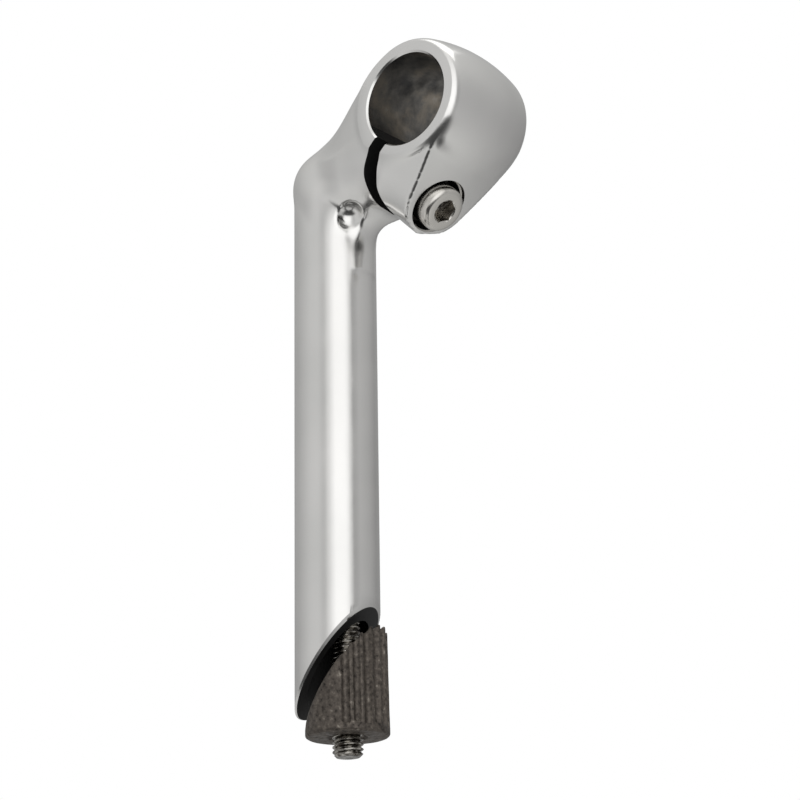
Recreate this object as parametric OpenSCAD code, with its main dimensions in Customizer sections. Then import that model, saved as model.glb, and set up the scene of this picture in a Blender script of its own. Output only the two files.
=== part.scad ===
// Quill handlebar stem for a bicycle: one-piece forged aluminium body with a split handlebar clamp, a long
// expander bolt with its domed washer and cast iron wedge, and a recessed clamp bolt with its washer.
// Millimetres. +Z runs up the quill, +X points forward to the handlebar, Y is the handlebar's own axis.
// The origin is on the quill's axis at the minimum insertion level, 62.7 mm above the quill's lower tip.

/* [Quill] */
// Outside diameter of the quill, which slides in a 1 inch steerer tube
quill_d = 22.2; // [22.0:0.1:22.3]
// Bore of the quill below the neck
quill_bore_d = 16; // [15:0.5:17]
// Length of quill below the minimum insertion level, to the tip of the oblique cut
insertion = 62.7; // [60:0.1:65]
// Slope of the oblique cut across the quill and of the wedge's face, from horizontal
wedge_angle = 52; // [50:1:54]
// Turn of the oblique cut and the wedge about the quill, away from square with the neck
cut_turn = 12; // [0:1:15]
// Height where the quill starts to swell into the neck
neck_start_z = 62.5; // [62:0.5:63]

/* [Handlebar clamp] */
// Diameter of the handlebar that the clamp holds
bar_d = 25.4; // [25.4, 26.0]
// Distance of the handlebar's axis in front of the quill's axis
reach = 37.9; // [37.5:0.1:38.5]
// Height of the handlebar's axis
bar_z = 93.6; // [93:0.1:94]
// Width of the clamp along the handlebar
clamp_w = 32; // [31:0.5:33]
// Diameter of the clamp barrel in the middle of its width
barrel_mid_d = 36.4; // [36:0.1:37]
// Diameter of the clamp barrel at its two ends
barrel_end_d = 31.9; // [31.5:0.1:32.5]
// Width of the slit that lets the clamp close
slit_w = 4.4; // [4:0.1:4.6]

/* [Clamp bolt] */
// Thread diameter of the clamp bolt
clamp_bolt_d = 8; // [8]
// Length of the clamp bolt under its head
clamp_bolt_len = 25; // [24:0.5:26]
// Angle of the clamp bolt's axis below horizontal, towards its head
clamp_bolt_dip = 45; // [44:1:46]
// Diameter of the pocket that the clamp bolt's head sits in
pocket_d = 15.4; // [15.2:0.1:15.6]
// Depth of the pocket's floor below the front face, along the bolt
pocket_depth = 5.8; // [5.5:0.1:6]

/* [Expander] */
// Thread diameter of the expander bolt
expander_d = 8; // [8]
// Length of the expander bolt under its head
expander_len = 156; // [154:1:158]
// Lean of the slack expander bolt, its lower end towards the front
lean = 1.13; // [1.05:0.01:1.2]
// Diameter of the wedge
wedge_d = 21.6; // [21.4:0.1:21.8]
// Height of the wedge's oblique face above its bottom, on the wedge's axis
wedge_mid_h = 14.7; // [14:0.1:15]
// Height of the wedge's bottom above the bolt's lower end
wedge_rest = 5; // [4.5:0.5:5.5]
// Number of grooves down the front of the wedge
groove_count = 9; // [7:2:9]

/* [Hidden] */
$fn = 96;
hull_fn = 32;

quill_r = quill_d / 2;
bar_r = bar_d / 2;
thread_gap = 0.05;              // radial clearance of each bolt in its thread
head_d = 12.5;                  // socket head
head_h = 8;
key_af = 6;                     // across the flats of the key's socket
key_depth = 4.5;

cut_mid_z = -insertion + quill_r * tan(wedge_angle);
relief = 0.25;                  // the quill is turned a little smaller beside the wedge,
relief_z = 38;                  // from this far below the origin down
neck_ball_z = 83.05;            // centre of the neck's round rear end
neck_r = quill_r + 0.2;         // the forging above the turned quill

slit_arc_x = 41.5;              // centre of the slit's curve from the handlebar's seat down to the bottom
slit_arc_z = 69;
slit_arc_r = 19;                // radius of the slit's middle

boss_r = 11;                    // round lower end of the clamp, about the clamp bolt
boss_shift = -1.5;              // centre of that round end, down the face from the pocket's middle
boss_spread = 1.4;              // widening of the boss at its rear end
boss_len = 16;
face_x = 35.4;                  // middle of the pocket's mouth, on the sloping front face
face_z = 69.1;
root_r = 9.5;                   // hollow curve where the quill meets the underside of the neck
root_front_x = 22;              // front end of the web under the neck
root_half = 4.6;                // half the web's width
root_h = root_r + 8;            // height of the web, up into the neck
clamp_washer_t = 1.6;
clamp_washer_d = 14.4;
clamp_hole_d = 9;               // clearance hole through the clamp's ear
clamp_tap_depth = 31;           // end of the tapped hole in the neck, from the pocket's mouth

seat_r = 12;                    // spherical seat under the domed washer
washer_top_z = 83;
washer_rim_t = 0.6;
expander_washer_d = 14;
pivot_z = washer_top_z - washer_rim_t + sqrt(pow(seat_r, 2) - pow(expander_washer_d / 2, 2));
head_pocket_d = 15.2;           // pocket for the expander bolt's head
expander_hole_d = 10;           // hole through the neck for the expander bolt
expander_hole_end_z = 58;       // where that hole opens into the quill's bore

groove_r = 1;
groove_pitch = 15.8;            // degrees between the wedge's grooves
wedge_front_h = 28.3;           // where the sloping end of the wedge's front meets its side
wedge_rear_flat = 10;           // distance of the flat on the wedge's back from its axis
dimple_r = 3.5;
dimple = [11.45, 7.05, 70.8];   // centre of the round dent on each side, at the neck's lower corner

// The clamp bolt's own frame: +Z points out of the pocket, z = 0 at the middle of the pocket's mouth.
module on_clamp_axis() {
    translate([face_x, 0, face_z]) rotate([0, 90 + clamp_bolt_dip, 0]) children();
}

// The slack expander's lean, about the centre of the spherical seat.
module leaning() {
    translate([0, 0, pivot_z]) rotate([0, -lean, 0]) translate([0, 0, -pivot_z]) children();
}

// Everything above a plane that rises towards +X at the wedge's angle, through height z on the axis.
module above_oblique(z, size) {
    translate([0, 0, z]) rotate([0, -wedge_angle, 0]) translate([-size, -size, 0]) cube(2 * size);
}

// A barrel along Y, fullest in the middle of its width.
module barrel(mid_d, end_d, width, fn) {
    bulge = (mid_d - end_d) / 2;
    crown_r = (pow(width / 2, 2) + pow(bulge, 2)) / (2 * bulge);
    rotate([90, 0, 0]) rotate_extrude($fn = fn) intersection() {
        translate([mid_d / 2 - crown_r, 0]) circle(r = crown_r, $fn = 3 * fn);
        translate([0, -width / 2]) square([mid_d, width]);
    }
}

module at_bar() {
    translate([reach, 0, bar_z]) children();
}

// Solid neck: a round-ended bar that widens from the quill to the clamp's barrel.
module neck() {
    hull() {
        translate([0, 0, neck_ball_z]) sphere(r = neck_r, $fn = hull_fn);
        translate([0, 0, neck_start_z + root_r + 2]) cylinder(r = neck_r, h = 8, $fn = hull_fn);
        at_bar() barrel(barrel_mid_d - 0.6, barrel_end_d - 0.6, clamp_w - 0.4, hull_fn);
    }
}

// Web under the neck: its front edge is a hollow curve up from the quill.
module neck_root() {
    past_front = root_front_x + 8;
    intersection() {
        translate([0, -root_half, neck_start_z]) cube([root_front_x, 2 * root_half, root_h]);
        rotate([90, 0, 0]) linear_extrude(height = 4 * root_half, center = true) difference() {
            translate([0, neck_start_z]) square([past_front, root_h]);
            translate([quill_r + root_r, neck_start_z]) circle(r = root_r);
            translate([quill_r + root_r, neck_start_z]) square([past_front, root_r]);
        }
    }
}

// The clamp's outer ear: it tapers from the barrel to the round boss about the clamp bolt.
module ear() {
    hull() {
        at_bar() barrel(barrel_mid_d - 0.7, barrel_end_d - 0.7, clamp_w - 0.5, hull_fn);
        on_clamp_axis() translate([boss_shift, 0, -8])
            cylinder(r = boss_r, h = 8, $fn = hull_fn);
    }
    on_clamp_axis() hull() {
        translate([boss_shift, 0, -1]) cylinder(r = boss_r - 0.05, h = 0.9, $fn = hull_fn);
        translate([boss_shift, 0, -boss_len]) scale([1, boss_spread, 1])
            cylinder(r = boss_r, h = 1, $fn = hull_fn);
    }
}

// The slit curves down from the handlebar's seat and opens below the neck.
module slit() {
    rotate([90, 0, 0]) linear_extrude(height = 2 * clamp_w, center = true) {
        intersection() {
            difference() {
                translate([slit_arc_x, slit_arc_z]) circle(r = slit_arc_r + slit_w / 2);
                translate([slit_arc_x, slit_arc_z]) circle(r = slit_arc_r - slit_w / 2);
            }
            translate([0, slit_arc_z]) square([reach - 6, bar_z - slit_arc_z - 6]);
        }
        translate([slit_arc_x - slit_arc_r - slit_w / 2, slit_arc_z - 20]) square([slit_w, 20.01]);
    }
}

module head_pocket() {
    translate([0, 0, washer_top_z]) cylinder(d = head_pocket_d, h = 40);
    intersection() {
        translate([0, 0, pivot_z]) sphere(r = seat_r + thread_gap);
        cylinder(d = head_pocket_d, h = washer_top_z + 1);
    }
    translate([0, 0, expander_hole_end_z - 1]) cylinder(d = expander_hole_d, h = 40);
}

module quill_bore() {
    translate([0, 0, -insertion - 20]) cylinder(d = quill_bore_d, h = expander_hole_end_z + insertion + 20);
}

module clamp_bolt_holes() {
    on_clamp_axis() {
        translate([0, 0, -pocket_depth]) cylinder(d = pocket_d, h = 30);
        translate([0, 0, -14]) cylinder(d = clamp_hole_d, h = 14);
        translate([0, 0, -clamp_tap_depth])
            cylinder(r = clamp_bolt_d / 2 + thread_gap, h = clamp_tap_depth - 10);
    }
}

module dimples() {
    for (side = [-1, 1]) translate([dimple.x, side * dimple.y, dimple.z]) sphere(r = dimple_r);
}

module stem_body() {
    color("silver") difference() {
        union() {
            translate([0, 0, -insertion - 5]) cylinder(r = quill_r - relief, h = insertion - relief_z + 6);
            translate([0, 0, -relief_z]) cylinder(r = quill_r, h = neck_start_z + relief_z);
            translate([0, 0, neck_start_z - 0.01]) cylinder(r = neck_r, h = neck_ball_z - neck_start_z);
            at_bar() barrel(barrel_mid_d, barrel_end_d, clamp_w, $fn);
            neck();
            neck_root();
            ear();
        }
        rotate(cut_turn) mirror([0, 0, 1]) mirror([1, 0, 0]) above_oblique(-cut_mid_z, 60);
        quill_bore();
        head_pocket();
        at_bar() rotate([90, 0, 0]) cylinder(r = bar_r, h = 2 * clamp_w, center = true);
        slit();
        clamp_bolt_holes();
        dimples();
    }
}

// Domed washer: its round underside lets the slack bolt lean in the spherical seat.
module expander_washer() {
    color("lightsteelblue") leaning() difference() {
        intersection() {
            translate([0, 0, pivot_z]) sphere(r = seat_r);
            translate([0, 0, washer_top_z - 4]) cylinder(d = expander_washer_d, h = 4);
        }
        cylinder(r = expander_d / 2 + thread_gap, h = 2 * washer_top_z);
    }
}

// A socket-head bolt: z = 0 under the head, the thread's end chamfered.
module socket_bolt(thread_d, length) {
    tip = 0.8;
    difference() {
        union() {
            cylinder(d = head_d, h = head_h - 1);
            translate([0, 0, head_h - 1]) cylinder(d1 = head_d, d2 = head_d - 1.6, h = 1);
            translate([0, 0, -length + tip]) cylinder(d = thread_d, h = length);
            translate([0, 0, -length]) cylinder(d1 = thread_d - 2 * tip, d2 = thread_d, h = tip);
        }
        translate([0, 0, head_h - key_depth])
            cylinder(d = key_af / cos(30), h = key_depth + 1, $fn = 6);
    }
}

module expander_bolt() {
    color("gainsboro") leaning() translate([0, 0, washer_top_z]) socket_bolt(expander_d, expander_len);
}

// Cast wedge: oblique top face, grooves down its front, tapped through for the expander bolt.
module wedge_shape() {
    difference() {
        union() {
            cylinder(d1 = wedge_d - 1, d2 = wedge_d, h = 0.5);
            translate([0, 0, 0.5]) cylinder(d = wedge_d, h = 40);
        }
        above_oblique(wedge_mid_h, 60);
        translate([wedge_d / 2, 0, wedge_front_h]) rotate([0, -45, 0]) translate([-30, -30, 0]) cube(60);
        translate([-wedge_rear_flat - 30, -15, -1]) cube([30, 30, 60]);
        for (k = [-(groove_count - 1) / 2 : (groove_count - 1) / 2])
            rotate(k * groove_pitch) translate([wedge_d / 2 + 0.45, 0, 2]) cylinder(r = groove_r, h = 60);
        translate([0, 0, -1]) cylinder(r = expander_d / 2 + thread_gap, h = 60);
        translate([0, 0, -0.01]) cylinder(d1 = expander_d + 2.4, d2 = expander_d, h = 1.2);
    }
}

module wedge() {
    bolt_end_z = washer_top_z - expander_len;
    color("dimgray") leaning() translate([0, 0, bolt_end_z + wedge_rest]) rotate(cut_turn) wedge_shape();
}

module clamp_washer() {
    color("lightsteelblue") on_clamp_axis() translate([0, 0, -pocket_depth]) difference() {
        cylinder(d = clamp_washer_d, h = clamp_washer_t);
        translate([0, 0, -1]) cylinder(r = clamp_bolt_d / 2 + thread_gap, h = clamp_washer_t + 2);
    }
}

module clamp_bolt() {
    color("gainsboro") on_clamp_axis() translate([0, 0, clamp_washer_t - pocket_depth])
        socket_bolt(clamp_bolt_d, clamp_bolt_len);
}

stem_body();
expander_washer();
expander_bolt();
wedge();
clamp_washer();
clamp_bolt();
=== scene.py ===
"""Looks of a bicycle's quill handlebar stem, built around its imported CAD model.

Shapes are worked out in millimetres in the CAD model's own frame and become metres when their mesh is made:
+Z up the quill, +X forward to the handlebar, Y along the handlebar, origin on the quill's axis.
"""

import math

import bmesh
import bpy
import numpy as np
from mathutils import Matrix, Vector


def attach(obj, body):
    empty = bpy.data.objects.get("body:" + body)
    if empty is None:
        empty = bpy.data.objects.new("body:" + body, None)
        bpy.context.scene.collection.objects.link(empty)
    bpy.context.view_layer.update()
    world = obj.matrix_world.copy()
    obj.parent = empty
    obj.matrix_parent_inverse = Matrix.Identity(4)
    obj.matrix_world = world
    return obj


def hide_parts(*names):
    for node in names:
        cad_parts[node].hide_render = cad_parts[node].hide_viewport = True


MM = 0.001

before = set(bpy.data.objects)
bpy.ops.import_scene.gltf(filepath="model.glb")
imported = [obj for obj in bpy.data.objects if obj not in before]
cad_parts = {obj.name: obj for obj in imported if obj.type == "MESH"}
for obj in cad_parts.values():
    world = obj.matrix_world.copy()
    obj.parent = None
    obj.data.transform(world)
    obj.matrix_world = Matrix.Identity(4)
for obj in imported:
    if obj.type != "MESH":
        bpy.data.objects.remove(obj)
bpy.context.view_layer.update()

# ---------------------------------------------------------------- dimensions, in mm

QUILL_R = 11.1
QUILL_BORE_R = 8.0
INSERTION = 62.7                # depth of the quill's lower tip below the origin
CUT_TURN = math.radians(12)     # turn of the oblique cut and the wedge about the quill
CUT_RISE = math.tan(math.radians(52))

BAR_R = 12.7
REACH = 37.9
BAR_Z = 93.6
CLAMP_HALF = 16.0               # half the clamp's width
BARREL_MID_R = 18.2
BARREL_END_R = 15.95
RIM_R = 1.3                     # rounding of the clamp's two rims

NECK_BALL_Z = 83.05             # centre of the neck's round rear end
NECK_WAIST = 1.1                # how much the neck's top sags and its underside rises, half way along
ROOT_Z = 62.3                   # where the quill starts to swell into the neck
ROOT_R = 9.5                    # hollow curve in front of the quill
WEB_HALF = 4.2                  # half the width of the web between the quill and the slit
WEB_FRONT_X = 22.0
DIMPLE = (12.2, 8.55, 69.4)     # centre of the round dent on each side, at the neck's lower corner
DIMPLE_R = 4.2

FACE = Vector((35.4, 0.0, 69.1))  # middle of the pocket's mouth on the sloping front face
FACE_OUT = Vector((math.sqrt(0.5), 0.0, -math.sqrt(0.5)))
FACE_DOWN = Vector((-math.sqrt(0.5), 0.0, -math.sqrt(0.5)))
EAR_END_R = 11.05
EAR_END_DOWN = -1.5             # centre of the ear's round end, down the face from the pocket
EAR_TIP_DOWN = 9.5              # lower edge of the ear's front
EAR_TIP_R = 1.0
LUG_HALF = 13.4                 # half the width of the lug that carries the clamp bolt's thread
POCKET_R = 7.7
POCKET_DEPTH = 5.8

SLIT_ARC_X = 41.5
SLIT_ARC_Z = 69.0
SLIT_ARC_R = 19.0
SLIT_W = 4.4

SEAT_R = 12.0                   # spherical seat of the domed washer
SEAT_GAP = 0.05
SEAT_RINGS = 8
WELL_R = 7.6                    # pocket for the expander bolt's head
WASHER_TOP_Z = 83.0
WASHER_D = 14.0
WASHER_RINGS = 10
PIVOT_Z = 92.1468
LEAN = math.radians(1.13)
EXPANDER_LEN = 156.0
EXPANDER_THREAD = 48.0
CLAMP_BOLT_LEN = 25.0
CLAMP_WASHER_R = 7.2
CLAMP_WASHER_T = 1.6

BOLT_HEAD_R = 6.25
BOLT_HEAD_H = 8.0
BOLT_R = 3.98                   # crests of the M8 thread
SHANK_ROOT_R = 3.5              # end of the plain shank, where it runs into the thread
PITCH = 1.25
KEY_R = 3.464                   # corners of the 6 mm key's socket
KEY_DEPTH = 4.5
DRILL_R = 2.3                   # drilled hole under the key's socket
EYE_R = 4.05                    # hole through each washer

WEDGE_R = 10.8
WEDGE_MID_H = 14.7              # height of the oblique face on the wedge's axis
WEDGE_FRONT_H = 28.3            # where the sloping end of the wedge's front meets its side
WEDGE_REAR_FLAT = 10.0
WEDGE_REST = 5.0                # height of the wedge's bottom above the bolt's lower end
GROOVE_R = 1.0
GROOVE_STEP = 15.8              # degrees from groove to groove
GROOVE_COUNT = 9
GROOVE_START = 2.2              # lower end of the grooves


# ---------------------------------------------------------------- fields: distance to a surface, in mm

def smooth_step(value, start, end):
    """0 before start, 1 after end and a smooth rise between them."""
    t = np.clip((value - start) / (end - start), 0, 1)
    return t * t * (3 - 2 * t)


def soft_union(a, b, reach):
    """The nearer of two solids, with a fillet where both surfaces are within reach."""
    h = np.clip(reach - np.abs(a - b), 0, None) / reach
    return np.minimum(a, b) - h * h * reach / 4


def soft_cut(a, b, reach):
    """The part of a that is also in b, with the edge between them softened."""
    return -soft_union(-a, -b, reach)


def round_edge(a, b, radius):
    """The region inside both a and b, with the edge between them rounded to a radius."""
    return np.minimum(np.maximum(a, b), -radius) + np.hypot(
        np.maximum(a + radius, 0), np.maximum(b + radius, 0))


def two_circles(x, y, ax, ay, ar, bx, by, br):
    """Distance to the taut outline around two circles in a plane."""
    length = math.hypot(bx - ax, by - ay)
    ux, uy = (bx - ax) / length, (by - ay) / length
    along = (x - ax) * ux + (y - ay) * uy
    across = np.abs((y - ay) * ux - (x - ax) * uy)
    lean = (ar - br) / length
    upright = np.sqrt(1 - lean * lean)
    k = along * upright - across * lean
    flank = across * upright + along * lean - ar
    near = np.hypot(across, along) - ar
    far = np.hypot(across, along - length) - br
    return np.where(k < 0, near, np.where(k > length * upright, far, flank))


def on_face(x, z):
    """Distances out of the sloping front face and down along it, from the middle of the pocket's mouth."""
    out = (x - FACE.x) * FACE_OUT.x + (z - FACE.z) * FACE_OUT.z
    down = (x - FACE.x) * FACE_DOWN.x + (z - FACE.z) * FACE_DOWN.z
    return out, down


def barrel_radius(y):
    return BARREL_MID_R - (BARREL_MID_R - BARREL_END_R) * np.minimum(np.abs(y) / CLAMP_HALF, 1.1) ** 2


def neck_field(x, y, z):
    """Neck: a bar with a round rear end, nearly round at the quill and square-edged at the clamp."""
    along = np.clip(x / REACH, 0, 1)
    side = two_circles(x, z, 0, NECK_BALL_Z, QUILL_R, REACH, BAR_Z, barrel_radius(y))
    side = side + NECK_WAIST * np.sin(np.pi * along) ** 2
    widening = smooth_step(along, 0.05, 0.72)
    # the flanks lean in towards the neck's underside
    half = QUILL_R + widening * (BARREL_END_R - QUILL_R - 0.25 * np.clip(84.5 - z, 0, 14))
    edge = QUILL_R - 0.05 - 8.6 * smooth_step(along, 0.10, 0.75)
    return round_edge(side, np.abs(y) - half, edge)


def root_field(x, y, z):
    """Web below the neck: narrow, with a hollow curve up from the quill's front, and wider at the top."""
    around = np.hypot(np.maximum(x, 0), y)
    before = np.maximum(QUILL_R - 0.5 + ROOT_R - around, 0)
    hollow = ROOT_R - np.hypot(before, np.maximum(z - ROOT_Z, 0))
    half = WEB_HALF + 8.0 * smooth_step(z, 68, 78) * smooth_step(x, -4, 13)
    ends = np.maximum(np.maximum(-x, x - WEB_FRONT_X), np.maximum(z - 84, ROOT_Z - 5 - z))
    return np.maximum(round_edge(hollow, np.abs(y) - half, 1.2), ends)


def ear_field(x, y, z):
    """The clamp's ear and the lug behind it: outline seen along the bolt, profile seen from the side."""
    out, down = on_face(x, z)
    bar_out, bar_down = on_face(REACH, BAR_Z)
    wide = np.abs(y)

    # the front runs straight from the barrel to the ear's tip
    tip_out, tip_down = -EAR_TIP_R, EAR_TIP_DOWN - EAR_TIP_R
    length = math.hypot(tip_out - bar_out, tip_down - bar_down)
    eo, ed = (tip_out - bar_out) / length, (tip_down - bar_down) / length
    radius = barrel_radius(y) - 0.02
    lean = (radius - EAR_TIP_R) / length
    upright = np.sqrt(1 - lean * lean)
    front = (out - bar_out) * (eo * lean + ed * upright)
    front = front + (down - bar_down) * (ed * lean - eo * upright) - radius

    # the forging's underside is a blunt keel, which flattens towards the slit
    keel = down - EAR_TIP_DOWN + (0.36 - 0.022 * np.clip(-out, 0, 10)) * wide
    boss = two_circles(down, y, EAR_END_DOWN, 0, EAR_END_R, bar_down, 0, CLAMP_HALF)
    boss = round_edge(boss, keel, 0.6)
    lug = round_edge(keel, wide - LUG_HALF - 2.6 * smooth_step(-down, -4, 10), 7.0)
    # behind the slit the lug's flanks close in on the web
    past_slit = x - SLIT_ARC_X + SLIT_ARC_R + SLIT_W / 2
    lug = round_edge(lug, (wide - 11.8 - 1.05 * past_slit) / 1.45, 2.0)
    outline = boss + (lug - boss) * np.clip(-out / 10, 0, 1)
    outline = round_edge(outline, wide - CLAMP_HALF, 2.0)

    rear = np.maximum(-(out + 18), -(down - bar_down))
    return np.maximum(round_edge(front, outline, 0.7), rear)


def forging(p):
    """The stem's body before any machining."""
    x, y, z = p.T
    quill = np.hypot(np.hypot(x, y), np.maximum(z - NECK_BALL_Z, 0)) - QUILL_R
    barrel = np.hypot(x - REACH, z - BAR_Z) - barrel_radius(y)
    barrel = round_edge(barrel, np.abs(y) - CLAMP_HALF, RIM_R)
    solid = soft_union(neck_field(x, y, z), barrel, 2.5)
    # the ear's front is tangent to the barrel, so only the rest of it needs a fillet
    out, _ = on_face(x, z)
    solid = soft_union(solid, ear_field(x, y, z), 2.0 - 1.6 * smooth_step(out, -9, -3))
    # a broad blend where the neck's underside leaves the quill, and hardly any where the two coincide
    blend = 1.2 + 8 * (1 - smooth_step(z, 75, 83)) * smooth_step(x, -6, 4)
    solid = soft_union(solid, quill, blend)
    solid = soft_union(solid, root_field(x, y, z), 2.0 + 2.5 * smooth_step(z, 72, 77))
    dent_x, dent_y, dent_z = DIMPLE
    dimple = np.sqrt((x - dent_x) ** 2 + (np.abs(y) - dent_y) ** 2 + (z - dent_z) ** 2) - DIMPLE_R
    return np.maximum(soft_cut(solid, -dimple, 0.5), -(z + INSERTION + 4))


def gradient(field, points, step=0.01):
    """A field's slope at each point, from differences along the three axes."""
    slopes = []
    for axis in range(3):
        offset = np.zeros(3)
        offset[axis] = step
        slopes.append((field(points + offset) - field(points - offset)) / (2 * step))
    return np.stack(slopes, 1)


def net_over(field, axes):
    """Quads over a field's zero surface: one vertex in each cell that it crosses, moved onto it."""
    grid = np.stack(np.meshgrid(*axes, indexing="ij"), -1)
    value = field(grid.reshape(-1, 3)).reshape(grid.shape[:3])
    inside = value < 0
    cells = [len(a) - 1 for a in axes]
    total, count = np.zeros(cells + [3]), np.zeros(cells)
    crossings = []
    for axis in range(3):
        low = [slice(None)] * 3
        high = [slice(None)] * 3
        low[axis], high[axis] = slice(None, -1), slice(1, None)
        low, high = tuple(low), tuple(high)
        crossed = inside[low] != inside[high]
        crossings.append((crossed, inside[low]))
        share = np.where(crossed, value[low] / np.where(crossed, value[low] - value[high], 1), 0)
        point = (grid[low] + share[..., None] * (grid[high] - grid[low])) * crossed[..., None]
        u, v = [a for a in range(3) if a != axis]
        for shift_u in (0, 1):
            for shift_v in (0, 1):
                part = [slice(None)] * 3
                part[u] = slice(shift_u, shift_u + cells[u])
                part[v] = slice(shift_v, shift_v + cells[v])
                total += point[tuple(part)]
                count += crossed[tuple(part)]
    active = count > 0
    number = np.full(cells, -1)
    number[active] = np.arange(active.sum())
    points = total[active] / count[active][:, None]
    for _ in range(4):
        slope = gradient(field, points)
        move = field(points)[:, None] * slope / np.maximum((slope ** 2).sum(1), 0.1)[:, None]
        points = points - np.clip(move, -0.4, 0.4)

    quads = []
    for axis in range(3):
        u, v = (axis + 1) % 3, (axis + 2) % 3
        crossed, solid_below = crossings[axis]
        where = np.argwhere(crossed)
        keep = (where[:, u] > 0) & (where[:, v] > 0) & (where[:, u] < cells[u]) & (where[:, v] < cells[v])
        where = where[keep]
        corners = []
        for du, dv in ((-1, -1), (0, -1), (0, 0), (-1, 0)):
            cell = where.copy()
            cell[:, u] += du
            cell[:, v] += dv
            corners.append(number[tuple(cell.T)])
        quad = np.stack(corners, 1)
        flip = ~solid_below[tuple(where.T)]
        quad[flip] = quad[flip][:, ::-1]
        quads.append(quad)
    return points, np.concatenate(quads)


# ---------------------------------------------------------------- meshes

def new_object(name, points, faces):
    """An object in the scene from points in mm and faces as tuples of point numbers."""
    mesh = bpy.data.meshes.new(name)
    places = [tuple(p) for p in np.asarray(points, float) * MM]
    mesh.from_pydata(places, [], [tuple(map(int, face)) for face in faces])
    mesh.update()
    made = bpy.data.objects.new(name, mesh)
    bpy.context.scene.collection.objects.link(made)
    return made


def move(made, matrix):
    """Moves a mesh's points by a matrix whose shift is in mm."""
    matrix = matrix.copy()
    matrix.translation *= MM
    made.data.transform(matrix)
    return made


def lathe(name, profile, segments=128, turn=0.0):
    """A closed solid of revolution about Z. Its (radius, height) outline starts and ends on the axis."""
    rings = profile[1:-1]
    angles = [2 * math.pi * k / segments + turn for k in range(segments)]
    points = [(0, 0, profile[0][1]), (0, 0, profile[-1][1])]
    points += [(r * math.cos(a), r * math.sin(a), z) for r, z in rings for a in angles]
    faces = []
    for k in range(segments):
        after = (k + 1) % segments
        faces.append((0, 2 + after, 2 + k))
        last = 2 + (len(rings) - 1) * segments
        faces.append((1, last + k, last + after))
        for ring in range(len(rings) - 1):
            base = 2 + ring * segments
            faces.append((base + k, base + after, base + segments + after, base + segments + k))
    return new_object(name, points, faces)


def prism(name, outline, half):
    """A solid with an (x, z) outline, from y = -half to y = half."""
    count = len(outline)
    points = [(x, side * half, z) for side in (-1, 1) for x, z in outline]
    faces = [tuple(range(count)), tuple(range(2 * count - 1, count - 1, -1))]
    for k in range(count):
        after = (k + 1) % count
        faces.append((k, count + k, count + after, after))
    made = new_object(name, points, faces)
    clean = bmesh.new()
    clean.from_mesh(made.data)
    bmesh.ops.recalc_face_normals(clean, faces=clean.faces)
    clean.to_mesh(made.data)
    clean.free()
    return made


def cut(made, cutter):
    """Takes the cutter's volume away from a mesh, and removes the cutter."""
    modifier = made.modifiers.new("cut", "BOOLEAN")
    modifier.operation = "DIFFERENCE"
    modifier.solver = "EXACT"
    modifier.object = cutter
    bpy.context.view_layer.update()
    result = bpy.data.meshes.new_from_object(made.evaluated_get(bpy.context.evaluated_depsgraph_get()))
    made.modifiers.clear()
    old = made.data
    made.data = result
    bpy.data.meshes.remove(old)
    bpy.data.objects.remove(cutter)
    return made


def smooth(made, angle=30):
    """Smooth shading, apart from edges sharper than the angle."""
    made.data.polygons.foreach_set("use_smooth", [True] * len(made.data.polygons))
    made.data.set_sharp_from_angle(angle=math.radians(angle))
    return made


def present(made, node, body, materials, chooser=None):
    """Shows a mesh for a CAD node, on its body. The chooser picks each face's material."""
    for material in materials:
        made.data.materials.append(material)
    if chooser:
        count = len(made.data.polygons)
        centre, normal = np.empty(3 * count), np.empty(3 * count)
        made.data.polygons.foreach_get("center", centre)
        made.data.polygons.foreach_get("normal", normal)
        index = chooser(centre.reshape(-1, 3) / MM, normal.reshape(-1, 3))
        made.data.polygons.foreach_set("material_index", index.astype(np.int32))
    made.data.update()
    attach(made, body)
    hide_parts(node)
    return made


def lift(height):
    return Matrix.Translation((0, 0, height))


# +Z out of the clamp bolt's pocket, the slack expander's lean, and +Z along the handlebar
ON_CLAMP_AXIS = Matrix.Translation(FACE) @ Matrix.Rotation(math.radians(135), 4, "Y")
LEANING = lift(PIVOT_Z) @ Matrix.Rotation(-LEAN, 4, "Y") @ lift(-PIVOT_Z)
AT_BAR = Matrix.Translation((REACH, 0, BAR_Z)) @ Matrix.Rotation(math.radians(90), 4, "X")


def arc(centre_x, centre_z, radius, start, end, count):
    """Points on an arc in the side view, angles in degrees."""
    angles = [math.radians(start + (end - start) * k / (count - 1)) for k in range(count)]
    return [(centre_x + radius * math.cos(a), centre_z + radius * math.sin(a)) for a in angles]


def slit_cutter():
    """The slit: a curve down from the handlebar's seat, then straight down out of the web."""
    inner, outer = SLIT_ARC_R - SLIT_W / 2, SLIT_ARC_R + SLIT_W / 2
    inside_seat_x, bottom_z = 31.6, SLIT_ARC_Z - 25
    top = math.degrees(math.acos((SLIT_ARC_X - inside_seat_x) / SLIT_ARC_R))
    outline = arc(SLIT_ARC_X, SLIT_ARC_Z, outer, 180, 180 - top - 4, 28)
    outline += arc(SLIT_ARC_X, SLIT_ARC_Z, inner, 180 - top - 2, 180, 28)
    outline += [(SLIT_ARC_X - inner, bottom_z), (SLIT_ARC_X - outer, bottom_z)]
    return prism("slit", outline, 30)


def cut_height(x, y):
    """Height of the oblique cut's plane."""
    return CUT_RISE * (QUILL_R + x * math.cos(CUT_TURN) + y * math.sin(CUT_TURN)) - INSERTION


def oblique(name, profile, segments=192):
    """A solid of revolution sheared along Z, so that its height 0 lies on the oblique cut."""
    made = lathe(name, profile, segments)
    for vertex in made.data.vertices:
        vertex.co.z += cut_height(vertex.co.x / MM, vertex.co.y / MM) * MM
    return made


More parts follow.
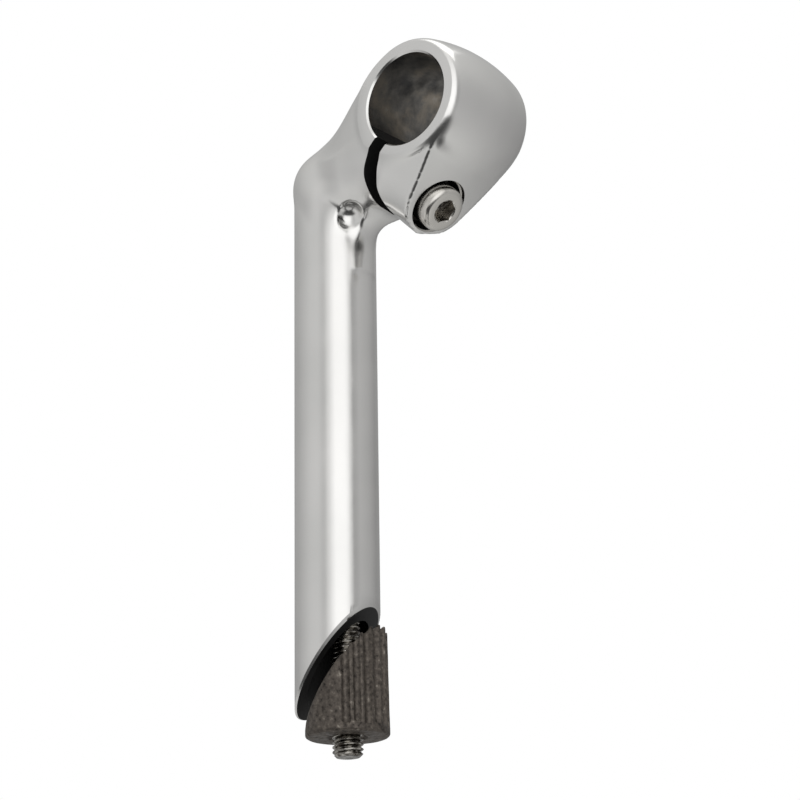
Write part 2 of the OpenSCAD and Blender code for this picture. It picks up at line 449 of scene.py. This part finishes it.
def bar_seat(chamfer=0.45):
    """The handlebar's seat, with a small chamfer at each end."""
    face, far, flare = CLAMP_HALF + 0.02, 30, BAR_R + 14
    seat = [(0, -far), (flare, -far), (flare, -face), (BAR_R + chamfer, -face),
            (BAR_R, -CLAMP_HALF + chamfer), (BAR_R, CLAMP_HALF - chamfer),
            (BAR_R + chamfer, face), (flare, face), (flare, far), (0, far)]
    return move(lathe("seat", seat, 180), AT_BAR)


def clamp_bolt_pocket(chamfer=0.35, tap_end=-31):
    """The clamp bolt's pocket, its hole through the ear and its tapped hole in the lug."""
    hole_r, floor_z = 4.5, -POCKET_DEPTH
    mouth_r = POCKET_R + chamfer
    hole = [(0, tap_end), (EYE_R, tap_end), (EYE_R, -13), (hole_r, -12), (hole_r, floor_z),
            (POCKET_R, floor_z), (POCKET_R, -chamfer), (mouth_r, 0), (mouth_r, 6), (0, 6)]
    return move(lathe("pocket", hole), ON_CLAMP_AXIS)


def expander_well(hole_r=5.0, bore_top=55.5):
    """The expander bolt's pocket, its washer's spherical seat and its hole down to the quill's bore."""
    low, radius = -INSERTION - 20, SEAT_R + SEAT_GAP
    well = [(0, low), (QUILL_BORE_R, low), (QUILL_BORE_R, bore_top), (hole_r, bore_top + 3)]
    for k in range(SEAT_RINGS):
        r = hole_r + (WELL_R - hole_r) * k / (SEAT_RINGS - 1)
        well.append((r, PIVOT_Z - math.sqrt(radius * radius - r * r)))
    well += [(WELL_R, 120), (0, 120)]
    return lathe("well", well)


def quill_tip(edge=0.55):
    """What the oblique cut takes away, with the outer edge that it leaves broken."""
    ring = [(0, -90), (60, -90), (60, 1.6), (QUILL_R + 0.5, 1.6), (QUILL_R - edge, 0), (0, 0)]
    return oblique("tip", ring)


def stem_faces(centre, normal):
    """Chooses polished (0), the seat's oxide (1) or the painted shade of cut and hidden walls (2)."""
    x, y, z = centre.T
    out, down = on_face(x, z)
    seat_wall = (np.hypot(x - REACH, z - BAR_Z) < BAR_R + 0.1) & (np.abs(y) < CLAMP_HALF - 0.3)
    arc_gap = np.abs(np.hypot(x - SLIT_ARC_X, z - SLIT_ARC_Z) - SLIT_ARC_R)
    straight_gap = np.abs(x - SLIT_ARC_X + SLIT_ARC_R)
    in_slit = np.where(z > SLIT_ARC_Z, arc_gap, straight_gap) < SLIT_W / 2 + 0.03
    in_slit &= (x < REACH) & (z > 58) & (np.abs(normal[:, 1]) < 0.05)
    in_pocket = (np.hypot(down, y) < POCKET_R + 0.05) & (out < -0.3) & (out > -32)
    in_well = (np.hypot(x, y) < QUILL_BORE_R + 0.05) & (z < WASHER_TOP_Z)
    cut_face = (np.abs(z - cut_height(x, y)) < 0.05) & (z < 0)
    result = np.zeros(len(x), int)
    result[seat_wall] = 1
    # the slit, pockets, well and cut face get the near-black of painted shade
    result[in_slit | in_pocket | in_well | cut_face] = 2
    return result


def stem_body(materials):
    """The forging as one net, finer in the neck and clamp, and then machined."""
    fine, coarse = 0.6, 3.0
    axes = (
        np.arange(-12.3, 57.6, fine),
        np.arange(-17.1, 17.2, fine),
        np.concatenate([np.arange(-INSERTION - 7, 54, coarse), np.arange(55.5, 113.5, fine)]),
    )
    body = new_object("stem_forging", *net_over(forging, axes))
    for cutter in (bar_seat, slit_cutter, clamp_bolt_pocket, expander_well, quill_tip):
        cut(body, cutter())
    smooth(body, 28)
    return present(body, "stem_body", "stem", materials, stem_faces)


# ---------------------------------------------------------------- fasteners

def thread(name, radius, start, end, steps=40):
    """A threaded rod about Z from start down to end, with a chamfered lower end.

    Its rows of points follow the helix: row by row up the thread's profile, turn after turn.
    """
    depth = 0.61 * PITCH
    profile = ((0.0, 0.0), (0.14, 0.42), (0.40, 1.0), (0.54, 1.0), (0.80, 0.42), (0.94, 0.0))
    turns = math.ceil((start - end) / PITCH) + 2
    rows = turns * len(profile)
    points = []
    for row in range(rows):
        turn, part = divmod(row, len(profile))
        place, height = profile[part]
        for k in range(steps):
            z = end + PITCH * (turn - 1 + place + k / steps)
            z = min(max(z, end), start)
            r = min(radius - depth + depth * height, radius - 0.95 + (z - end))
            angle = 2 * math.pi * k / steps
            points.append((r * math.cos(angle), r * math.sin(angle), z))
    faces = []
    for row in range(rows - 1):
        for k in range(steps):
            a, b = row * steps + k, row * steps + k + 1
            if k == steps - 1:
                b = (row + len(profile)) * steps
                if row + len(profile) + 1 >= rows:
                    continue
            faces.append((a, b, b + steps, a + steps))
    made = new_object(name, points, faces)
    clean = bmesh.new()
    clean.from_mesh(made.data)
    bmesh.ops.remove_doubles(clean, verts=clean.verts, dist=0.004 * MM)
    bmesh.ops.dissolve_degenerate(clean, edges=clean.edges, dist=0.001 * MM)
    bmesh.ops.holes_fill(clean, edges=[e for e in clean.edges if e.is_boundary])
    bmesh.ops.recalc_face_normals(clean, faces=clean.faces)
    clean.to_mesh(made.data)
    clean.free()
    return made


def join(name, *parts):
    """One object from several closed solids."""
    together = bmesh.new()
    for part in parts:
        together.from_mesh(part.data)
    mesh = bpy.data.meshes.new(name)
    together.to_mesh(mesh)
    together.free()
    for part in parts:
        bpy.data.objects.remove(part)
    made = bpy.data.objects.new(name, mesh)
    bpy.context.scene.collection.objects.link(made)
    return made


def socket_bolt(name, length, thread_len):
    """M8 socket-head bolt: z = 0 under its head."""
    r, h = BOLT_HEAD_R, BOLT_HEAD_H
    head = [(0, -0.6), (3.95, -0.6), (4.0, 0), (r - 0.3, 0), (r, 0.3), (r, h - 1.1), (r - 0.25, h - 0.55),
            (r - 0.75, h - 0.12), (r - 1.3, h), (3.9, h), (0, h)]
    head = lathe(name + "_head", head, 96)
    floor_z = h - KEY_DEPTH
    cut(head, lathe(name + "_key", [(0, floor_z), (KEY_R, floor_z), (KEY_R, h + 1), (0, h + 1)], 6))
    countersink = [(0, h - 0.3), (3.1, h - 0.3), (3.5, h + 0.05), (3.5, h + 1), (0, h + 1)]
    cut(head, lathe(name + "_sink", countersink, 64))
    drill = [(0, floor_z - 1.4), (DRILL_R, floor_z - 0.1), (DRILL_R, floor_z + 0.5), (0, floor_z + 0.5)]
    cut(head, lathe(name + "_drill", drill, 48))
    parts = [head]
    thread_top = thread_len - length
    if thread_len < length - 1:
        shank = [(0, thread_top - 0.4), (SHANK_ROOT_R, thread_top - 0.4), (BOLT_R, thread_top + 0.5),
                 (BOLT_R, 0.2), (0, 0.2)]
        parts.append(lathe(name + "_shank", shank, 48))
    parts.append(thread(name + "_thread", BOLT_R, min(thread_top, -0.2), -length))
    return join(name, *parts)


def grease_and_shade_parts(place):
    """Chooses the second material, a darker steel with painted shade, at the bottom of a bolt's key socket
    and along its thread.
    """
    def chooser(centre, normal):
        back = np.array(place.inverted())
        x, y, z = (centre @ back[:3, :3].T + back[:3, 3]).T
        radius = np.hypot(x, y)
        # the bottom of the key socket is painted darker as shade in the recess
        in_socket = (radius < 3.9) & (z > 0.1) & (z < BOLT_HEAD_H - KEY_DEPTH + 0.2)
        on_thread = (z < -0.3) & (radius < BOLT_R - 0.01)
        return (in_socket | on_thread).astype(int)
    return chooser


def washer(name, profile, place, part, body, material):
    """A round washer with its eye."""
    made = lathe(name, profile, 96)
    low, high = profile[0][1] - 5, profile[-1][1] + 5
    cut(made, lathe("eye", [(0, low), (EYE_R, low), (EYE_R, high), (0, high)], 64))
    move(made, place)
    return present(smooth(made), part, body, [material])


def domed_profile():
    """Outline of the expander bolt's washer, whose underside is part of the seat's sphere."""
    rim = WASHER_D / 2
    dome = []
    for k in range(WASHER_RINGS):
        r = EYE_R + (rim - EYE_R) * k / (WASHER_RINGS - 1)
        dome.append((r, PIVOT_Z - math.sqrt(SEAT_R ** 2 - r * r)))
    top = [(rim, WASHER_TOP_Z - 0.25), (rim - 0.25, WASHER_TOP_Z), (0, WASHER_TOP_Z)]
    return [(0, dome[0][1])] + dome + top


def flat_profile():
    """Outline of the clamp bolt's washer."""
    r, t, edge = CLAMP_WASHER_R, CLAMP_WASHER_T, 0.2
    return [(0, 0), (r - edge, 0), (r, edge), (r, t - edge), (r - edge, t), (0, t)]


# ---------------------------------------------------------------- wedge

def ripple(p, size, seed):
    """Smooth, uneven waves over a point set, from -1 to 1."""
    random = np.random.default_rng(seed)
    total = np.zeros(len(p))
    for _ in range(7):
        direction = random.normal(size=3)
        direction /= np.linalg.norm(direction)
        wave = p @ direction * (2 * math.pi / size) * random.uniform(0.6, 1.5)
        total += np.sin(wave + random.uniform(0, 6.28))
    return total / 7


def wedge_casting(p):
    """The wedge, bottom at z = 0 and face rising towards +X."""
    x, y, z = p.T
    side = np.hypot(x, y) - WEDGE_R
    nearest = np.full(len(x), 9.0)
    axis_r = WEDGE_R + 0.15
    for k in range(GROOVE_COUNT):
        angle = GROOVE_STEP * (k - (GROOVE_COUNT - 1) / 2)
        turn = math.radians(angle)
        groove = np.hypot(x - axis_r * math.cos(turn), y - axis_r * math.sin(turn)) - GROOVE_R
        uneven = 0.3 * math.sin(5 * angle)      # the grooves don't all start at one height
        groove = np.maximum(groove, GROOVE_START + uneven - z)
        nearest = np.minimum(nearest, groove)
    side = soft_cut(side, -nearest, 0.25)
    face = (z - WEDGE_MID_H - CUT_RISE * x) / math.hypot(1, CUT_RISE)
    bevel = (x + z - WEDGE_R - WEDGE_FRONT_H) * math.sqrt(0.5)
    solid = round_edge(side, -z, 0.8)
    solid = soft_cut(solid, face, 0.7)
    solid = soft_cut(solid, bevel, 0.8)
    solid = np.maximum(solid, -WEDGE_REAR_FLAT - x)
    return solid + 0.05 * ripple(p, 5.0, 3) + 0.02 * ripple(p, 1.9, 4) + 0.02


def wedge(materials):
    step = 0.42
    axes = (np.arange(-11.6, 11.7, step), np.arange(-11.6, 11.7, step), np.arange(-1.2, 30.5, step))
    body = new_object("wedge_casting", *net_over(wedge_casting, axes))
    hole = [(0, -3), (5.4, -3), (5.4, -0.2), (4.1, 1.0), (EYE_R, 40), (0, 40)]
    cut(body, lathe("tap", hole, 64))
    turned_to_cut = Matrix.Rotation(CUT_TURN, 4, "Z")
    move(body, LEANING @ lift(WASHER_TOP_Z - EXPANDER_LEN + WEDGE_REST) @ turned_to_cut)
    smooth(body, 40)
    return present(body, "wedge", "wedge", materials)


# ---------------------------------------------------------------- materials

def shader(name, colour, metallic=0.0, roughness=0.5):
    """A material, its node tree and its surface shader."""
    material = bpy.data.materials.new(name)
    material.use_nodes = True
    surface = material.node_tree.nodes["Principled BSDF"]
    surface.inputs["Base Color"].default_value = (*colour, 1)
    surface.inputs["Metallic"].default_value = metallic
    surface.inputs["Roughness"].default_value = roughness
    return material, material.node_tree, surface


def node(tree, kind, **values):
    """A new node, with values for its inputs or its own properties."""
    made = tree.nodes.new(kind)
    for key, value in values.items():
        if key in made.inputs:
            made.inputs[key].default_value = value
        else:
            setattr(made, key, value)
    return made


def noise(tree, scale, detail=4.0, rough=0.55):
    """Noise over the object's own coordinates, in waves per metre."""
    coordinates = node(tree, "ShaderNodeTexCoord")
    texture = node(tree, "ShaderNodeTexNoise", Scale=scale, Detail=detail, Roughness=rough)
    tree.links.new(coordinates.outputs["Object"], texture.inputs["Vector"])
    return texture.outputs["Fac"]


def ramp(tree, source, stops):
    """Colour or grey stops along a factor: [(place, value or colour), ...]."""
    made = node(tree, "ShaderNodeValToRGB")
    while len(made.color_ramp.elements) < len(stops):
        made.color_ramp.elements.new(0.5)
    for element, (place, value) in zip(made.color_ramp.elements, stops):
        element.position = place
        element.color = (*value, 1) if isinstance(value, tuple) else (value, value, value, 1)
    tree.links.new(source, made.inputs["Fac"])
    return made.outputs["Color"]


def bump(tree, surface, source, height, strength):
    """Relief on a surface shader, with its height in metres."""
    made = node(tree, "ShaderNodeBump", Strength=strength, Distance=height)
    tree.links.new(source, made.inputs["Height"])
    tree.links.new(made.outputs["Normal"], surface.inputs["Normal"])


def polished_aluminium():
    """Hand-polished forging: cloudy patches and very low waves."""
    material, tree, surface = shader("polished_aluminium", (0.8, 0.79, 0.77), 1.0, 0.2)
    patches = noise(tree, 90, 3)
    tree.links.new(ramp(tree, patches, [(0.3, 0.15), (0.7, 0.24)]), surface.inputs["Roughness"])
    tint = ramp(tree, noise(tree, 45, 2), [(0.3, (0.77, 0.765, 0.75)), (0.7, (0.84, 0.83, 0.815))])
    tree.links.new(tint, surface.inputs["Base Color"])
    bump(tree, surface, noise(tree, 160, 2), 0.00008, 0.5)
    return material


def seat_metal():
    """Bare metal of the handlebar's seat, with brown and grey stains."""
    material, tree, surface = shader("seat_oxide", (0.1, 0.095, 0.085), 1.0, 0.42)
    stain = ramp(tree, noise(tree, 110, 6, 0.6), [
        (0.34, (0.1, 0.1, 0.1)), (0.5, (0.23, 0.22, 0.205)), (0.62, (0.36, 0.32, 0.27)),
        (0.75, (0.5, 0.48, 0.45))])
    tree.links.new(stain, surface.inputs["Base Color"])
    tree.links.new(ramp(tree, noise(tree, 240, 4), [(0.3, 0.32), (0.7, 0.6)]), surface.inputs["Roughness"])
    return material


def shadowed_metal():
    """Unpolished walls of the slit, the holes and the cut, painted near-black as shade because they lie in
    shadow.
    """
    return shader("painted_shade_aluminium", (0.02, 0.02, 0.02), 0.5, 0.5)[0]


def bolt_steel(name, colour, roughness):
    """Bright steel, with a roughness that varies a little."""
    material, tree, surface = shader(name, colour, 1.0, roughness)
    wear = ramp(tree, noise(tree, 260, 5), [(0.3, roughness - 0.06), (0.72, roughness + 0.12)])
    tree.links.new(wear, surface.inputs["Roughness"])
    return material


def grease_and_painted_shade_steel():
    """Steel of the threads and of the key sockets' bottoms, darker in patches: painted shade in the key
    sockets, and on the threads partly old grease and partly painted shade.
    """
    material, tree, surface = shader("grease_and_painted_shade_steel", (0.2, 0.19, 0.175), 1.0, 0.2)
    # dark patches: painted shade in the sockets, on the threads partly grease and partly painted shade
    grease_and_shade_tone = ramp(tree, noise(tree, 600, 5, 0.6), [(0.42, (0.08, 0.07, 0.06)), (0.6, (0.55, 0.53, 0.49))])
    tree.links.new(grease_and_shade_tone, surface.inputs["Base Color"])
    return material


def cast_iron():
    """Coarse casting with oil and rust in its pores."""
    material, tree, surface = shader("cast_iron", (0.09, 0.075, 0.06), 0.75, 0.5)
    colour = ramp(tree, noise(tree, 900, 8, 0.6), [
        (0.3, (0.02, 0.017, 0.015)), (0.42, (0.085, 0.073, 0.063)), (0.62, (0.15, 0.129, 0.11)),
        (0.72, (0.33, 0.3, 0.26))])
    tree.links.new(colour, surface.inputs["Base Color"])
    tree.links.new(ramp(tree, noise(tree, 700, 4), [(0.35, 0.36), (0.7, 0.7)]), surface.inputs["Roughness"])
    bump(tree, surface, noise(tree, 1500, 6, 0.6), 0.00012, 0.7)
    return material


# ---------------------------------------------------------------- scene

def camera():
    """The photograph's view, from below the front, with a slight roll."""
    azimuth, elevation, roll = (math.radians(a) for a in (38.97, -18.16, 0.895))
    distance, side, lens = 0.6124, 0.017, 103.5
    aim = Vector((0, 0, 0.0225))
    back = Vector((math.sin(azimuth) * math.cos(elevation), -math.cos(azimuth) * math.cos(elevation),
                   math.sin(elevation)))
    right = Vector((math.cos(azimuth), math.sin(azimuth), 0))
    up = back.cross(right)
    across = right * math.cos(roll) - up * math.sin(roll)
    upward = right * math.sin(roll) + up * math.cos(roll)
    place = aim + right * side + back * distance
    data = bpy.data.cameras.new("camera")
    data.lens = lens
    data.sensor_width = 36
    made = bpy.data.objects.new("camera", data)
    bpy.context.scene.collection.objects.link(made)
    made.matrix_world = Matrix((
        (across.x, upward.x, back.x, place.x),
        (across.y, upward.y, back.y, place.y),
        (across.z, upward.z, back.z, place.z),
        (0, 0, 0, 1)))
    bpy.context.scene.camera = made


def softbox(name, place, aim, width, height, power):
    """A rectangular lamp, in metres and watts."""
    data = bpy.data.lights.new(name, "AREA")
    data.shape = "RECTANGLE"
    data.size, data.size_y = width, height
    data.energy = power
    made = bpy.data.objects.new(name, data)
    bpy.context.scene.collection.objects.link(made)
    made.location = place
    direction = Vector(aim) - Vector(place)
    made.rotation_euler = direction.to_track_quat("-Z", "Y").to_euler()


# brightness of the room's walls at angles around the object; 0 is the side that the photograph looks from
WALLS = ((-180, 0.3), (-125, 0.42), (-75, 0.62), (-52, 0.64), (-34, 0.52), (-20, 0.85), (-4, 1.25),
         (26, 1.25), (36, 0.95), (46, 0.34), (66, 0.48), (100, 0.4), (130, 0.28), (180, 0.3))
# how much of the dark patch low down on that side is seen at each angle
AHEAD = ((-75, 0.0), (-45, 1.0), (45, 1.0), (75, 0.0))


def round_the_room(tree, around, stops):
    """A ramp over the angle around the object, with its stops in degrees."""
    return ramp(tree, around, [(0.5 + angle / 360, value) for angle, value in stops])


def lower_than(tree, height, none, full):
    """0 where a direction's height is above none, rising to 1 at full."""
    made = node(tree, "ShaderNodeMapRange", clamp=True,
                **{"From Min": full, "From Max": none, "To Min": 1.0, "To Max": 0.0})
    tree.links.new(height, made.inputs["Value"])
    return made.outputs["Result"]


def arithmetic(tree, operation, first, second):
    made = node(tree, "ShaderNodeMath", operation=operation)
    tree.links.new(first, made.inputs[0])
    tree.links.new(second, made.inputs[1])
    return made.outputs["Value"]


def mix_towards(tree, factor, source, grey):
    """The source's colour at factor 0 and the given grey at 1."""
    colour_a, colour_b, colour_result = 6, 7, 2     # the node's sockets for colours, which share their names
    made = node(tree, "ShaderNodeMix", data_type="RGBA")
    tree.links.new(factor, made.inputs["Factor"])
    tree.links.new(source, made.inputs[colour_a])
    made.inputs[colour_b].default_value = (*grey, 1)
    return made.outputs[colour_result]


def studio():
    """A white background to the camera; a softer grey room for light and reflections."""
    world = bpy.data.worlds.new("studio")
    bpy.context.scene.world = world
    world.use_nodes = True
    tree = world.node_tree
    link = tree.links.new
    room = tree.nodes["Background"]

    direction = node(tree, "ShaderNodeTexCoord").outputs["Generated"]
    split = node(tree, "ShaderNodeSeparateXYZ")
    link(direction, split.inputs["Vector"])
    height = split.outputs["Z"]
    turn = node(tree, "ShaderNodeMapping")
    turn.inputs["Rotation"].default_value = (0, 0, math.radians(49.4))
    radial = node(tree, "ShaderNodeTexGradient", gradient_type="RADIAL")
    link(direction, turn.inputs["Vector"])
    link(turn.outputs["Vector"], radial.inputs["Vector"])
    around = radial.outputs["Fac"]

    # walls that change around the object, and an even grey overhead and underneath
    walls = round_the_room(tree, around, WALLS)
    steep = arithmetic(tree, "MULTIPLY", height, height)
    lit = mix_towards(tree, steep, walls, (0.74, 0.74, 0.73))

    # dark low down towards the camera, and straight below
    ahead = round_the_room(tree, around, AHEAD)
    low_ahead = arithmetic(tree, "MULTIPLY", lower_than(tree, height, -0.42, -0.6), ahead)
    dark = arithmetic(tree, "MAXIMUM", low_ahead, lower_than(tree, height, -0.84, -0.93))
    link(mix_towards(tree, dark, lit, (0.06, 0.06, 0.06)), room.inputs["Color"])

    plain = node(tree, "ShaderNodeBackground", Color=(1, 1, 1, 1))
    path = node(tree, "ShaderNodeLightPath")
    mix = node(tree, "ShaderNodeMixShader")
    link(path.outputs["Is Camera Ray"], mix.inputs["Fac"])
    link(room.outputs["Background"], mix.inputs[1])
    link(plain.outputs["Background"], mix.inputs[2])
    link(mix.outputs["Shader"], tree.nodes["World Output"].inputs["Surface"])
    softbox("top", (0.1, 0.1, 0.8), (0.02, 0, 0.05), 0.5, 0.5, 0.6)


def floor():
    """A pale floor below the object, out of the photograph's view."""
    radius, z, count = 95.0, -215.0, 96
    angles = [2 * math.pi * k / count for k in range(count)]
    rim = [(radius * math.cos(a), radius * math.sin(a), z) for a in angles]
    made = new_object("floor", rim, [range(count)])
    made.data.materials.append(shader("floor", (0.8, 0.8, 0.8), 0.0, 0.7)[0])


def build():
    stem_body([polished_aluminium(), seat_metal(), shadowed_metal()])

    plated = bolt_steel("clamp_bolt_steel", (0.72, 0.7, 0.66), 0.2)
    steel = bolt_steel("expander_bolt_steel", (0.55, 0.54, 0.52), 0.24)
    grease_and_shade = grease_and_painted_shade_steel()
    clamp_place = ON_CLAMP_AXIS @ lift(CLAMP_WASHER_T - POCKET_DEPTH)
    expander_place = LEANING @ lift(WASHER_TOP_Z)
    for name, length, thread_len, metal, place in (
            ("clamp_bolt", CLAMP_BOLT_LEN, CLAMP_BOLT_LEN, plated, clamp_place),
            ("expander_bolt", EXPANDER_LEN, EXPANDER_THREAD, steel, expander_place)):
        bolt = socket_bolt(name + "_shown", length, thread_len)
        move(bolt, place)
        present(smooth(bolt), name, name, [metal, grease_and_shade], grease_and_shade_parts(place))

    clean = bolt_steel("plated_washer", (0.6, 0.59, 0.57), 0.28)
    # the clamp washer's near-black is painted shade, for the dark gap deep in the bolt's pocket
    painted_shade_washer_steel = bolt_steel("painted_shade_washer", (0.06, 0.055, 0.05), 0.35)
    washer("expander_washer_shown", domed_profile(), LEANING, "expander_washer", "expander_seat", clean)
    washer("clamp_washer_shown", flat_profile(), ON_CLAMP_AXIS @ lift(-POCKET_DEPTH),
           "clamp_washer", "clamp_washer", painted_shade_washer_steel)

    wedge([cast_iron()])


build()
floor()
studio()
camera()
bpy.context.scene.view_settings.view_transform = "Standard"
